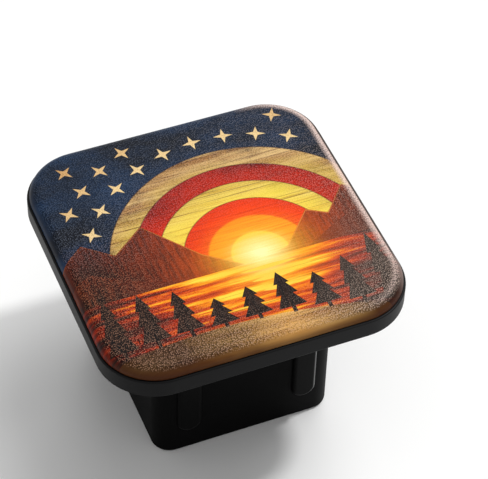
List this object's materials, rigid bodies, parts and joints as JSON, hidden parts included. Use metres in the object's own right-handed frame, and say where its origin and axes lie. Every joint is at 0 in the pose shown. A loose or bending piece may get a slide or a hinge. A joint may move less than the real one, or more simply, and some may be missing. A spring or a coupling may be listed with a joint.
{
  "type": "hitch receiver cover",
  "caption": "Square plug for a trailer hitch receiver tube: a hollow ribbed shank and a round-cornered flange with a printed face.",
  "frame": {"origin": "middle of the shank's rim, on which the part stands", "axes": "+Z out of the receiver tube, towards the printed face; +Y towards the top of the picture"},
  "size_m": [0.08, 0.08, 0.0522],
  "materials": {
    "black_plastic": "satin moulded plastic with a fine grain",
    "plate_plastic": "smooth plate under the print",
    "ink_navy": "printed, fine satin grain",
    "ink_gold": "printed, fine satin grain",
    "ink_red": "printed, fine satin grain",
    "ink_sand": "printed, fine satin grain",
    "ink_amber": "printed, fine satin grain",
    "ink_yellow": "printed, fine satin grain",
    "ink_brown": "printed, fine satin grain",
    "ink_umber": "printed, fine satin grain",
    "ink_rust": "printed, fine satin grain",
    "ink_tan": "printed, fine satin grain",
    "ink_black": "printed, fine satin grain"
  },
  "bodies": {
    "root": {"cover_body": "black_plastic", "face_plate": "plate_plastic", "print_sky": "ink_navy", "print_sparkles": "ink_gold", "print_red_bands": "ink_red", "print_sand_bands": "ink_sand", "print_amber_band": "ink_amber", "print_sun": "ink_yellow", "print_far_hills": "ink_brown", "print_near_hills": "ink_umber", "print_lake": "ink_rust", "print_glints": "ink_amber", "print_bank": "ink_tan", "print_pines": "ink_black"}
  },
  "joints": []
}
